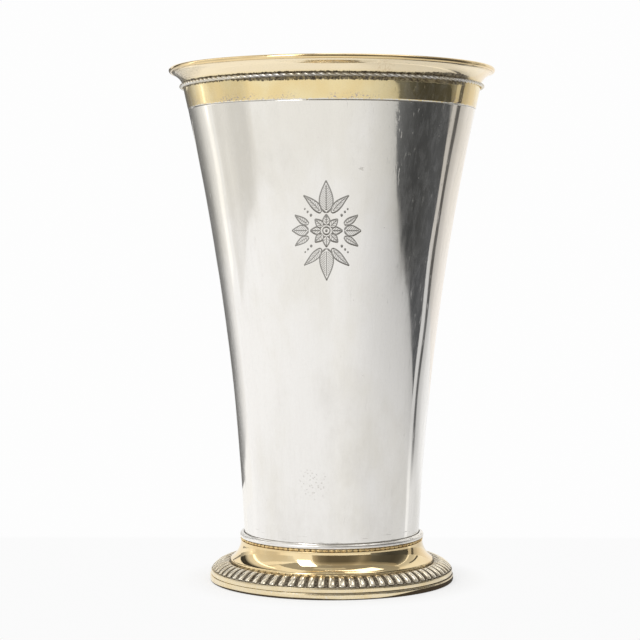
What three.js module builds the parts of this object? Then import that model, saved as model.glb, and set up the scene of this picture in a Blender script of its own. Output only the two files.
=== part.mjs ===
import * as THREE from "three";

// Trumpet-shaped silver beaker, parcel gilt, on a hollow gadrooned foot.
// Millimetres and degrees. +Z is up. The origin is on the axis, in the plane that the foot stands on.

// Cup
const BEAKER_HEIGHT = 150;
const MOUTH_DIAMETER = 95.4;
const WALL_THICKNESS = 0.8;
const WALL_LEAN_AT_FOOT = 2.6;
const WALL_LEAN_AT_LIP = 12.8;
const LIP_FLARE_RADIUS = 5.7;
const LIP_LEAN_AT_EDGE = 66;
const LIP_WIRE_DIAMETER = 1;
const FLOOR_THICKNESS = 1;

// Line turned round the cup where the gilding of the mouth ends
const GILDING_LINE_BELOW_MOUTH = 11.9;
const GILDING_LINE_WIDTH = 0.5;
const GILDING_LINE_DEPTH = 0.2;

// Twisted square wire under the lip
const ROPE_DIAMETER = 1.35;
const ROPE_LAY_LENGTH = 2.14;

// Foot, from the table up
const FOOT_SPREAD = 10.2;
const BASE_RIM_HEIGHT = 1.6;
const BASE_RIM_WIDTH = 3.4;
const BASE_RIM_ROUNDING = 0.5;
const BEAD_HEIGHT = 1.1;
const BEAD_WIDTH = 2.2;
const BEAD_ROUNDING = 0.4;
const BEAD_SETBACK = 0.3;
const GADROON_SETBACK = 0.5;
const GADROON_PITCH = 2.97;
const GADROON_LEDGE_WIDTH = 1.5;
const GADROON_LEDGE_DROP = 0.65;
const GADROON_ROLL_WIDTH = 1.3;
const GADROON_SHOULDER_WIDTH = 3.7;
const GADROON_HEIGHT = 3;
const GADROON_RELIEF = 0.75;
const SPOOL_FILLET_HEIGHT = 0.6;
const SPOOL_HEIGHT = 6;
const SPOOL_THICKNESS = 0.9;
const SPOOL_OVERHANG = 1.1;
const SHELF_THICKNESS = 1.5;
const SHELF_WIDTH = 3.2;
const MILLED_WIRE_DIAMETER = 0.7;
const MILLED_WIRE_PITCH = 1.7;
const MILLED_WIRE_NOTCH_DEPTH = 0.1;
const COLLAR_HEIGHT = 1.35;
const COLLAR_WIDTH = 1.25;
const COLLAR_EDGE_HEIGHT = 0.5;

// Space that the solder fills between two pieces
const SOLDER_GAP = 0.08;

// Facets
const TURNED_SEGMENTS = 54;
const WALL_STEPS = 6;
const FLARE_STEPS = 4;
const SPOOL_STEPS = 5;
const SPOOL_HOLLOW_STEPS = 3;
const LIP_WIRE_SIDES = 8;
const ROUNDING_STEPS = 4;
const COLLAR_STEPS = 3;

const radians = THREE.MathUtils.degToRad;

// Heights of the stacked foot pieces
const beadBottom = BASE_RIM_HEIGHT + SOLDER_GAP;
const gadroonBottom = beadBottom + BEAD_HEIGHT + SOLDER_GAP;
const gadroonTop = gadroonBottom + GADROON_HEIGHT;
const ledgeHeight = gadroonTop - GADROON_LEDGE_DROP;
const spoolBottom = ledgeHeight + SOLDER_GAP;
const spoolTop = spoolBottom + SPOOL_FILLET_HEIGHT + SPOOL_HEIGHT;
const milledWireHeight = spoolTop + SOLDER_GAP + MILLED_WIRE_DIAMETER / 2;
const shelfTop = spoolTop + MILLED_WIRE_DIAMETER + 2 * SOLDER_GAP;
const cupBottom = shelfTop + SOLDER_GAP;

// The side of the cup is one long arc, and the lip is a short arc that carries on from it. On both, the
// outer face at lean a is the centre of the arc minus the radius times (cos a, -sin a).
const lean = {
  foot: radians(WALL_LEAN_AT_FOOT),
  lip: radians(WALL_LEAN_AT_LIP),
  edge: radians(LIP_LEAN_AT_EDGE),
};
const lipWireRadius = LIP_WIRE_DIAMETER / 2;
const lipWireCentre = new THREE.Vector2(MOUTH_DIAMETER / 2 - lipWireRadius, BEAKER_HEIGHT - lipWireRadius);
const flare = { radius: LIP_FLARE_RADIUS, centre: flareCentre() };
const flareStart = pointOnArc(flare, lean.lip);
const wall = { radius: (flareStart.y - cupBottom) / (Math.sin(lean.lip) - Math.sin(lean.foot)) };
wall.centre = flareStart.clone().addScaledVector(outward(lean.lip), wall.radius);

// Radii of the foot, all taken from the lower end of the cup
const cupFootRadius = pointOnArc(wall, lean.foot).x;
const footRadius = cupFootRadius + FOOT_SPREAD;
const gadroonOuter = footRadius - GADROON_SETBACK;
const shoulderInner = gadroonOuter - GADROON_SHOULDER_WIDTH;
const lobeInner = shoulderInner - GADROON_ROLL_WIDTH;
const gadroonInner = lobeInner - GADROON_LEDGE_WIDTH;
const spoolFootRadius = lobeInner - SOLDER_GAP;
const spoolTopRadius = cupFootRadius + SPOOL_OVERHANG;
const spoolNeckRadius = spoolTopRadius - MILLED_WIRE_DIAMETER;

function outward(a) {
  return new THREE.Vector2(Math.cos(a), -Math.sin(a));
}

function along(a) {
  return new THREE.Vector2(Math.sin(a), Math.cos(a));
}

function flareCentre() {
  const setback = lipWireRadius + SOLDER_GAP;
  const middleOfEdge = lipWireCentre.clone().addScaledVector(along(lean.edge), -setback);
  return middleOfEdge.addScaledVector(outward(lean.edge), WALL_THICKNESS / 2 + LIP_FLARE_RADIUS);
}

function pointOnArc(arc, a, inset = 0) {
  return arc.centre.clone().addScaledVector(outward(a), -(arc.radius + inset));
}

function wallLeanAt(height) {
  return Math.asin((height - wall.centre.y) / wall.radius);
}

function arcPoints(arc, from, to, steps, inset = 0) {
  return Array.from({ length: steps + 1 }, (_, i) => {
    return pointOnArc(arc, from + ((to - from) * i) / steps, inset);
  });
}

function onEllipse(centre, width, height, angle) {
  return new THREE.Vector2(centre.x + width * Math.cos(angle), centre.y + height * Math.sin(angle));
}

function ellipsePoints(centre, width, height, from, to, steps) {
  return Array.from({ length: steps + 1 }, (_, i) => {
    return onEllipse(centre, width, height, from + ((to - from) * i) / steps);
  });
}

// Turns an outline, given counter-clockwise as (radius, height), round the Z axis. An outline that doesn't
// start on the axis is closed to a ring.
function turned(outline) {
  const closing = outline[0].x > 0 ? [outline[0]] : [];
  const geometry = new THREE.LatheGeometry([...outline, ...closing], TURNED_SEGMENTS);
  return geometry.rotateX(Math.PI / 2);
}

// Closes a ring of sections round the Z axis. sectionAt gives each section's (radius, height) points
// counter-clockwise, and the last section joins the first with its points shifted by twist places.
function ringOfSections(count, sectionAt, twist = 0) {
  const positions = [];
  const triangles = [];
  const sides = sectionAt(0).length;
  const places = ((twist % sides) + sides) % sides;
  for (let i = 0; i < count; i += 1) {
    const angle = (2 * Math.PI * i) / count;
    for (const point of sectionAt(i)) {
      positions.push(point.x * Math.cos(angle), point.x * Math.sin(angle), point.y);
    }
    const shift = i === count - 1 ? places : 0;
    const next = ((i + 1) % count) * sides;
    for (let j = 0; j < sides; j += 1) {
      const k = (j + 1) % sides;
      const a = i * sides + j;
      const b = i * sides + k;
      const c = next + ((j + shift) % sides);
      const d = next + ((k + shift) % sides);
      triangles.push(a, c, b, b, c, d);
    }
  }
  const geometry = new THREE.BufferGeometry();
  geometry.setAttribute("position", new THREE.Float32BufferAttribute(positions, 3));
  geometry.setIndex(triangles);
  geometry.computeVertexNormals();
  return geometry;
}

// Whole number of copies that fit round a circle at about the given pitch.
function copiesRound(radius, pitch) {
  return Math.round((2 * Math.PI * radius) / pitch);
}

// Raised sheet: up the outside past the turned line to the flared edge, and down the inside.
function cupBody() {
  const lineHeight = BEAKER_HEIGHT - GILDING_LINE_BELOW_MOUTH;
  const lineBelow = wallLeanAt(lineHeight - GILDING_LINE_WIDTH / 2);
  const lineAbove = wallLeanAt(lineHeight + GILDING_LINE_WIDTH / 2);
  return turned([
    ...arcPoints(wall, lean.foot, lineBelow, WALL_STEPS),
    pointOnArc(wall, wallLeanAt(lineHeight), GILDING_LINE_DEPTH),
    pointOnArc(wall, lineAbove),
    ...arcPoints(flare, lean.lip, lean.edge, FLARE_STEPS),
    ...arcPoints(flare, lean.edge, lean.lip, FLARE_STEPS, WALL_THICKNESS),
    ...arcPoints(wall, lean.lip, lean.foot, WALL_STEPS, WALL_THICKNESS).slice(1, -1),
    new THREE.Vector2(pointOnArc(wall, lean.foot, WALL_THICKNESS).x, cupBottom),
  ]);
}

// Disc soldered into the lower end of the cup, flush with its edge.
function cupFloor() {
  const radius = pointOnArc(wall, lean.foot, WALL_THICKNESS).x - SOLDER_GAP;
  return turned([
    new THREE.Vector2(0, cupBottom),
    new THREE.Vector2(radius, cupBottom),
    new THREE.Vector2(radius, cupBottom + FLOOR_THICKNESS),
    new THREE.Vector2(0, cupBottom + FLOOR_THICKNESS),
  ]);
}

// Round wire that stiffens the edge of the mouth.
function lipWire() {
  const round = ellipsePoints(lipWireCentre, lipWireRadius, lipWireRadius, 0, 2 * Math.PI, LIP_WIRE_SIDES);
  return turned(round.slice(0, -1));
}

// Square wire twisted a quarter turn at each lay, lying in the bend where the side turns into the lip.
function ropeWire() {
  const radius = ROPE_DIAMETER / 2;
  const centre = pointOnArc(wall, lean.lip, -(radius + SOLDER_GAP));
  const lays = copiesRound(centre.x, ROPE_LAY_LENGTH);
  const corners = [0, 1, 2, 3];
  const quarter = Math.PI / 2;
  const stepsPerLay = 2;
  const section = (i) => {
    const turn = (-quarter * i) / stepsPerLay;
    return corners.map((corner) => onEllipse(centre, radius, radius, turn + corner * quarter));
  };
  return ringOfSections(lays * stepsPerLay, section, -lays);
}

// Ring round the lower end of the cup, with a rounded top that slopes down to an upright edge.
function footCollar() {
  const top = cupBottom + COLLAR_HEIGHT;
  const inner = pointOnArc(wall, wallLeanAt(top)).x + SOLDER_GAP;
  const edgeTop = new THREE.Vector2(inner, cupBottom + COLLAR_EDGE_HEIGHT);
  const crown = COLLAR_HEIGHT - COLLAR_EDGE_HEIGHT;
  return turned([
    new THREE.Vector2(inner, cupBottom),
    new THREE.Vector2(inner + COLLAR_WIDTH, cupBottom),
    ...ellipsePoints(edgeTop, COLLAR_WIDTH, crown, 0, Math.PI / 2, COLLAR_STEPS),
  ]);
}

// Wire in the corner between the spool and the collar, notched all the way round.
function milledWire() {
  const radius = MILLED_WIRE_DIAMETER / 2;
  const centre = new THREE.Vector2(spoolNeckRadius + SOLDER_GAP + radius, milledWireHeight);
  const corners = [0, 1, 2, 3];
  const section = (i) => {
    const size = radius - (i % 2) * MILLED_WIRE_NOTCH_DEPTH;
    return corners.map((corner) => onEllipse(centre, size, size, (corner * Math.PI) / 2));
  };
  return ringOfSections(2 * copiesRound(centre.x, MILLED_WIRE_PITCH), section);
}

// Hollow spool: fillet at the bottom, concave side, a neck for the milled wire and a shelf under the cup.
function footSpool() {
  const spread = spoolFootRadius - spoolTopRadius;
  const radius = (spread ** 2 + SPOOL_HEIGHT ** 2) / (2 * spread);
  const side = { radius, centre: new THREE.Vector2(spoolTopRadius + radius, spoolTop) };
  const filletTop = -Math.asin(SPOOL_HEIGHT / radius);
  const shelfBottom = shelfTop - SHELF_THICKNESS;
  const shelfInner = spoolNeckRadius - SHELF_WIDTH;
  const hollowTop = Math.asin((shelfBottom - spoolTop) / (radius + SPOOL_THICKNESS));
  const hollowBottom = Math.asin((spoolBottom - spoolTop) / (radius + SPOOL_THICKNESS));
  return turned([
    new THREE.Vector2(spoolFootRadius, spoolBottom),
    ...arcPoints(side, filletTop, 0, SPOOL_STEPS),
    new THREE.Vector2(spoolNeckRadius, spoolTop),
    new THREE.Vector2(spoolNeckRadius, shelfTop),
    new THREE.Vector2(shelfInner, shelfTop),
    new THREE.Vector2(shelfInner, shelfBottom),
    ...arcPoints(side, hollowTop, hollowBottom, SPOOL_HOLLOW_STEPS, SPOOL_THICKNESS),
  ]);
}

// Cast ring of radial lobes. Across each lobe the surface follows a half circle, so that the lobes meet in
// sharp grooves. Along it, the lobe rises from the ledge, is full on the shoulder and fades at its end.
function gadroonBorder() {
  const stepsPerLobe = 3;
  const shoulder = new THREE.Vector2(shoulderInner, gadroonBottom);
  const rows = [
    { turn: 14, fullness: 0.8 },
    { turn: 40, fullness: 1 },
    { turn: 68, fullness: 0.95 },
    { turn: 100, fullness: 0.5 },
  ];
  const rowAt = ({ turn, fullness }, rise) => {
    const sink = GADROON_RELIEF * fullness * (1 - rise);
    return onEllipse(shoulder, GADROON_SHOULDER_WIDTH - sink, GADROON_HEIGHT - sink, radians(turn));
  };
  const section = (i) => {
    const offset = (2 * (i % stepsPerLobe)) / stepsPerLobe - 1;
    const rise = Math.sqrt(1 - offset ** 2);
    return [
      new THREE.Vector2(gadroonInner, gadroonBottom),
      new THREE.Vector2(gadroonOuter - GADROON_RELIEF, gadroonBottom),
      ...rows.map((row) => rowAt(row, rise)),
      new THREE.Vector2(lobeInner, ledgeHeight),
      new THREE.Vector2(gadroonInner, ledgeHeight),
    ];
  };
  return ringOfSections(copiesRound(gadroonOuter, GADROON_PITCH) * stepsPerLobe, section);
}

// Plain ring with a rounded outer face.
function roundedRing(outer, width, bottom, height, rounding) {
  const middle = new THREE.Vector2(outer - rounding, bottom + height / 2);
  return turned([
    new THREE.Vector2(outer - width, bottom),
    ...ellipsePoints(middle, rounding, height / 2, -Math.PI / 2, Math.PI / 2, ROUNDING_STEPS),
    new THREE.Vector2(outer - width, bottom + height),
  ]);
}

function beadWire() {
  return roundedRing(footRadius - BEAD_SETBACK, BEAD_WIDTH, beadBottom, BEAD_HEIGHT, BEAD_ROUNDING);
}

function baseRim() {
  return roundedRing(footRadius, BASE_RIM_WIDTH, 0, BASE_RIM_HEIGHT, BASE_RIM_ROUNDING);
}

const silver = new THREE.MeshStandardMaterial({ color: 0xdcdad4, roughness: 0.14, metalness: 1 });
const gilt = new THREE.MeshStandardMaterial({ color: 0xd9bd72, roughness: 0.18, metalness: 1 });
const rubbedGilt = new THREE.MeshStandardMaterial({ color: 0xc9b78c, roughness: 0.26, metalness: 1 });

const pieces = {
  cup_body: [cupBody(), silver],
  cup_floor: [cupFloor(), gilt],
  lip_wire: [lipWire(), gilt],
  rope_wire: [ropeWire(), silver],
  foot_collar: [footCollar(), silver],
  milled_wire: [milledWire(), gilt],
  foot_spool: [footSpool(), gilt],
  gadroon_border: [gadroonBorder(), rubbedGilt],
  bead_wire: [beadWire(), gilt],
  base_rim: [baseRim(), gilt],
};

const beaker = new THREE.Group();
for (const [name, [geometry, material]] of Object.entries(pieces)) {
  const mesh = new THREE.Mesh(geometry, material);
  mesh.name = name;
  beaker.add(mesh);
}

export default beaker;
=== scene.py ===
import bmesh
import bpy
import numpy as np
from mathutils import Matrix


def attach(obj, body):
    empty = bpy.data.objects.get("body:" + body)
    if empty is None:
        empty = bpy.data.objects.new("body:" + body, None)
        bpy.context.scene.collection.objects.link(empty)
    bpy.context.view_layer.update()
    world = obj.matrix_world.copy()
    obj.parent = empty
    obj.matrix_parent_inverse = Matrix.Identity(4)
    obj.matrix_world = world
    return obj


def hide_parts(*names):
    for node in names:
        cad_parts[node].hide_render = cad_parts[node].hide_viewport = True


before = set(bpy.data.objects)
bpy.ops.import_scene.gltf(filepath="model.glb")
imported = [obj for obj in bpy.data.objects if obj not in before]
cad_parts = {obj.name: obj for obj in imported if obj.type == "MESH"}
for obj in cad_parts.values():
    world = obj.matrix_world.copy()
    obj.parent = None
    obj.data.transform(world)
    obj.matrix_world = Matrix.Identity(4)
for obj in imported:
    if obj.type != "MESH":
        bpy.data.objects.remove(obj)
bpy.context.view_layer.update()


# Base rim
# Plain ring that the beaker stands on: silver strip, rounded on its outer face, soldered under the foot and
# fire gilt with it. Solder fills the seam above it on the left, and soil lies in the rest of that seam. A
# painted shadow runs along the lower edge, taller on the front right and a little on the front left. The
# gilding is rubbed on the bulge.
MM = 0.001
TURN_STEPS = 288
RIM_OUTER, RIM_INNER, RIM_HEIGHT, RIM_BULGE, RIM_FLAT = 35.93, 32.53, 1.83, 0.5, 0.36
RING_EASE = 0.2
# Heights in mm of the painted shadow on the lower edge: all round, added on the front right and front left.
RIM_SHADOW, RIM_SHADOW_RIGHT, RIM_SHADOW_LEFT = 0.34, 1.0, 0.22
SOLDER_SHARE, SOLDER_INSET = 0.9, 0.02
PALE_GOLDS = (0.945, 0.81, 0.55, 1), (0.91, 0.75, 0.46, 1)
BARE_SILVER = (0.945, 0.925, 0.885, 1)
# Brown of soil, also used for painted shade and painted dark reflections.
SOIL_AND_SHADE_BROWN = (0.05, 0.034, 0.018, 1)
SOIL_SHINE = 0.1


def ellipse(centre, width, height, start, stop, steps):
    """Points at centre + (width cos a, height sin a), with a in degrees from start to stop."""
    a = np.radians(np.linspace(start, stop, steps))
    return np.stack([centre[0] + width * np.cos(a), centre[1] + height * np.sin(a)], axis=1)


def eased(before, corner, after, cut, steps=5):
    """Rounded corner of an outline: (1-t)^2 start + 2t(1-t) corner + t^2 end, where start and end lie the
    length cut away from the corner, towards the points before and after it."""
    before, corner, after = np.array([before, corner, after], float)
    start = corner + (before - corner) * cut / np.linalg.norm(before - corner)
    end = corner + (after - corner) * cut / np.linalg.norm(after - corner)
    t = np.linspace(0, 1, steps)[:, None]
    return (1 - t) ** 2 * start + 2 * t * (1 - t) * corner + t**2 * end


def smooth(low, high, value):
    """0 up to low, 1 from high on, and t^2 (3 - 2t) between them. Where low is the larger, it falls."""
    t = np.clip((value - low) / (high - low), 0, 1)
    return t * t * (3 - 2 * t)


def within(value, low, full, last, high):
    """1 from full to last and 0 outside low to high, with smooth steps between."""
    return smooth(low, full, value) * smooth(high, last, value)


def round_angles(steps=TURN_STEPS):
    """Equal steps once round the axis, starting at the back."""
    return np.pi / 2 + np.arange(steps) * 2 * np.pi / steps


def bearing_of(angles):
    """Bearing in degrees from the front, positive to the right."""
    return np.degrees(np.arctan2(np.cos(angles), -np.sin(angles)))


def swept(radius, height, angles):
    """Points at (radius cos a, radius sin a, height), with one row for each angle a round the axis."""
    x = radius * np.cos(angles)[:, None]
    y = radius * np.sin(angles)[:, None]
    return np.stack(np.broadcast_arrays(x, y, height), axis=-1)


def spun(outline, steps=TURN_STEPS):
    """An outline of (radius, height), or one for each step, carried once round the axis."""
    return swept(outline[..., 0], outline[..., 1], round_angles(steps))


def placed(name, data):
    """New object in the scene for a mesh, a lamp or a camera."""
    made = bpy.data.objects.new(name, data)
    bpy.context.scene.collection.objects.link(made)
    return made


def meshed(name, points, quads, **marks):
    """Mesh of smooth quads over points in metres, with each mark as a point attribute."""
    mesh = bpy.data.meshes.new(name)
    mesh.from_pydata(points.tolist(), [], quads.tolist(), shade_flat=False)
    for mark, values in marks.items():
        layer = mesh.attributes.new(mark, "FLOAT", "POINT")
        layer.data.foreach_set("value", values.astype(np.float32).ravel())
    return mesh


def skin(name, grids, ends_open=False, **marks):
    """Piece over grids of points[i, j] in millimetres. i goes round a closed path and j along an outline,
    which closes too unless its ends are open. A quad runs i, i+1 and then j, j+1, so that outlines that go
    counter-clockwise face outwards. Each mark is spread over the grids."""
    quads, spread, start = [], {}, 0
    for grid in grids:
        here = start + np.arange(grid.size // 3).reshape(grid.shape[:2])
        next_round = np.roll(here, -1, axis=0)
        corners = [here, next_round, np.roll(next_round, -1, axis=1), np.roll(here, -1, axis=1)]
        sides = np.stack(corners, axis=-1)
        quads.append((sides[:, :-1] if ends_open else sides).reshape(-1, 4))
        start += here.size
    for mark, values in marks.items():
        rows = [np.broadcast_to(v, g.shape[:2]).ravel() for v, g in zip(values, grids)]
        spread[mark] = np.concatenate(rows)
    points = np.concatenate([grid.reshape(-1, 3) for grid in grids]) * MM
    return placed(name, meshed(name, points, np.concatenate(quads), **spread))


def fill(node, inputs):
    """Sets the inputs of a shader node by name or number, and links those whose value is a socket."""
    for key, value in inputs.items():
        if isinstance(value, bpy.types.NodeSocket):
            node.id_data.links.new(value, node.inputs[key])
        else:
            node.inputs[key].default_value = value


def add(tree, kind, inputs=(), **settings):
    """Adds a shader node, sets its properties and fills its inputs."""
    new = tree.nodes.new("ShaderNode" + kind)
    for key, value in settings.items():
        setattr(new, key, value)
    fill(new, dict(inputs))
    return new


def grain(tree, scale, stretch=(1, 1, 1), turn=(0, 0, 0), detail=2.0, roughness=0.5):
    """Noise of the given scale on Object coordinates, turned and then stretched."""
    place = add(tree, "TexCoord").outputs["Object"]
    laid = add(tree, "Mapping", {"Vector": place, "Rotation": np.radians(turn), "Scale": stretch})
    inputs = {"Vector": laid.outputs[0], "Scale": scale, "Detail": detail, "Roughness": roughness}
    return add(tree, "TexNoise", inputs).outputs["Fac"]


def level(value, low, high, to_low=0.0, to_high=1.0):
    """Takes low..high to to_low..to_high along a smooth step."""
    inputs = {"Value": value, 1: low, 2: high, 3: to_low, 4: to_high}
    return add(value.id_data, "MapRange", inputs, interpolation_type="SMOOTHSTEP").outputs[0]


def maths(operation, a, b=0.0):
    """Result of one operation on a socket and a value or another socket, in either order."""
    tree = (a if isinstance(a, bpy.types.NodeSocket) else b).id_data
    return add(tree, "Math", {0: a, 1: b}, operation=operation).outputs[0]


def times(a, b):
    """Product of the two."""
    return maths("MULTIPLY", a, b)


def plus(a, b):
    """Sum of the two."""
    return maths("ADD", a, b)


def larger(a, b):
    """The larger of the two."""
    return maths("MAXIMUM", a, b)


def colours(share, a, b):
    """Colour a, with colour b over it by the share."""
    return add(share.id_data, "Mix", {0: share, 6: a, 7: b}, data_type="RGBA").outputs[2]


def mark_of(tree, name):
    """One of the marks that meshed puts on the points."""
    return add(tree, "Attribute", attribute_name=name).outputs["Fac"]


def dents(height, depth, under=None):
    """Bump of the given depth in metres, over another bump if there is one."""
    inputs = {"Height": height, "Distance": depth, "Strength": 1.0}
    if under is not None:
        inputs["Normal"] = under
    return add(height.id_data, "Bump", inputs).outputs[0]


def node_material(name):
    """New material that uses nodes, and its node tree."""
    material = bpy.data.materials.new(name)
    material.use_nodes = True
    return material, material.node_tree


def gilt_finish(name, rub, dull=0.1, golds=PALE_GOLDS, patch=0.0, lines=0.000002, spread=0.12):
    """Fire gilding on turned silver: cloudy between two golds, rubbed to silver in specks by the share rub,
    and brown where the soil mark is, less so in patches. That mark holds soil, and on some pieces painted
    shade and painted dark reflections. It is rough from dull to dull + spread, and lines of the given depth
    in metres go round the axis."""
    material, tree = node_material(name)
    soil = mark_of(tree, "soil")
    cloud = grain(tree, 140, detail=3)
    speck = grain(tree, 2100, detail=3, roughness=0.7)
    base = colours(level(cloud, 0.35, 0.68), *golds)
    worn = times(level(speck, 0.66 - 0.2 * rub, 0.8 - 0.2 * rub), rub)
    base = colours(worn, base, BARE_SILVER)
    patches = level(grain(tree, 38, detail=1), 0.42, 0.56, 1 - patch, 1.0)
    patchy = times(soil, level(speck, 0.2, 0.62, 0.65, 1.0))
    patchy = times(patchy, patches)
    base = colours(patchy, base, SOIL_AND_SHADE_BROWN)
    rough = level(speck, 0.3, 0.75, dull, dull + spread)
    tooled = grain(tree, 420, stretch=(0.05, 0.05, 9), detail=2)
    fill(tree.nodes["Principled BSDF"], {
        "Base Color": base,
        "Metallic": maths("SUBTRACT", 1.0, patchy),
        "Specular IOR Level": SOIL_SHINE,
        "Roughness": plus(rough, times(soil, 0.3)),
        "Normal": dents(speck, 0.0000025, dents(tooled, lines)),
    })
    return material


def mount(piece, material, node):
    """Gives a finished piece its material and the one body, and hides the CAD node that it replaces."""
    piece.data.materials.append(material)
    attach(piece, "root")
    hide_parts(node)


def bulged_ring(inner, outer, bottom, height, bulge, flat):
    """Outline of a ring, counter-clockwise, with eased inner corners. Its outer face is at
    (outer - bulge + bulge cos(a)^flat, middle + height/2 sin(a)): the lower flat is, the straighter it is."""
    low_in, low_out = (inner, bottom), (outer - bulge, bottom)
    top_in, top_out = (inner, bottom + height), (outer - bulge, bottom + height)
    a = np.radians(np.linspace(-90, 90, 31))
    out = outer - bulge + bulge * np.clip(np.cos(a), 0, 1) ** flat
    face = np.stack([out, bottom + height / 2 * (1 + np.sin(a))], axis=1)
    low_corner = eased(top_in, low_in, low_out, RING_EASE)
    return np.concatenate([low_corner, face, eased(top_out, top_in, low_in, RING_EASE)])


rim_outline = bulged_ring(RIM_INNER, RIM_OUTER, 0, RIM_HEIGHT, RIM_BULGE, RIM_FLAT)
rim_bearing = bearing_of(round_angles())[:, None]
left_front = within(rim_bearing, -80, -50, -12, 8)
right_front = within(rim_bearing, 20, 48, 80, 96)
rim_shadow_height = RIM_SHADOW + RIM_SHADOW_RIGHT * right_front + RIM_SHADOW_LEFT * left_front
seam_solder = SOLDER_SHARE * within(rim_bearing, -170, -120, -32, -6)
seam_dark = 1 - 1.05 * seam_solder


def soldered(outline, outer, bulge, edge, full):
    """Ring spun from the outline. Where solder fills the seam, its face goes out to just inside the widest
    radius, the more so the nearer it is to the seam, from the level edge to the level full."""
    radius, height = outline.T
    face = radius > outer - bulge - 0.001
    push = seam_solder * smooth(edge, full, height) * face * (outer - SOLDER_INSET - radius)
    grid = spun(outline)
    grid[..., :2] *= (1 + np.maximum(push, 0) / radius)[..., None]
    return grid


rim_seam_soil = seam_dark * smooth(1.6, 1.82, rim_outline[:, 1])
# Painted shadow: the gilding is dark below a height that grows towards the front right.
rim_low_soil = 1.7 * smooth(rim_shadow_height + 0.1, rim_shadow_height - 0.1, rim_outline[:, 1])
rim_grid = soldered(rim_outline, RIM_OUTER, RIM_BULGE, edge=1.4, full=1.7)
base_rim = skin("base_rim_ring", [rim_grid], soil=[np.maximum(rim_seam_soil, rim_low_soil)])
mount(base_rim, gilt_finish("rim_gilding", rub=0.6, patch=0.3), "base_rim")


# Bead wire
# Half-round gilt wire between the base rim and the lobed border, drawn through a plate, bent to a ring and
# soldered. Dark soil lies in the seams on both sides of it, except where solder fills the lower one.
BEAD_OUTER, BEAD_INNER, BEAD_BOTTOM, BEAD_HEIGHT = 35.63, 33.43, 1.91, 1.37
BEAD_BULGE, BEAD_FLAT = 0.42, 0.32
bead_outline = bulged_ring(BEAD_INNER, BEAD_OUTER, BEAD_BOTTOM, BEAD_HEIGHT, BEAD_BULGE, BEAD_FLAT)
bead_offset = (bead_outline[:, 1] - BEAD_BOTTOM) / BEAD_HEIGHT
bead_soil = np.maximum(smooth(0.9, 0.98, bead_offset), seam_dark * smooth(0.1, 0.02, bead_offset))
# Painted shade under the lobed border: the upper part of the wire is darker on the front left.
bead_soil = np.maximum(bead_soil, 0.7 * left_front * smooth(0.6, 0.95, bead_offset))
bead_grid = soldered(bead_outline, BEAD_OUTER, BEAD_BULGE, edge=2.3, full=2.05)
bead_wire = skin("bead_wire_ring", [bead_grid], soil=[bead_soil])
mount(bead_wire, gilt_finish("bead_gilding", rub=0.6, patch=0.6), "bead_wire")


# Gadroon border
# Cast ring of 75 radial lobes over a flattened shoulder, chased up, gilt and soldered on the bead wire. The
# gilding is rubbed on the crowns, and the grooves are black-brown with old polish and tarnish.
LOBES, LOBE_STEPS = 75, 24
SHOULDER_MIDDLE, SHOULDER_WIDTH, SHOULDER_HEIGHT, SHOULDER_POWER = (31.73, 3.36), 3.7, 2.55, 1.4
LOBE_RELIEF, LOBE_POWER, PAD_RISE = 0.72, 2.2, 0.8
LOBE_END, LOBE_END_LENGTH, LOBE_SHARE = 12.0, 9.0, 0.68
LOBE_INNER, BORDER_INNER, BORDER_UNDER, LEDGE_HEIGHT = 30.0, 28.93, 34.6, 5.21
LOBE_GOLDS = (0.95, 0.86, 0.68, 1), (0.9, 0.78, 0.57, 1)
CROWN_CREAM = (0.97, 0.93, 0.84, 1)


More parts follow.
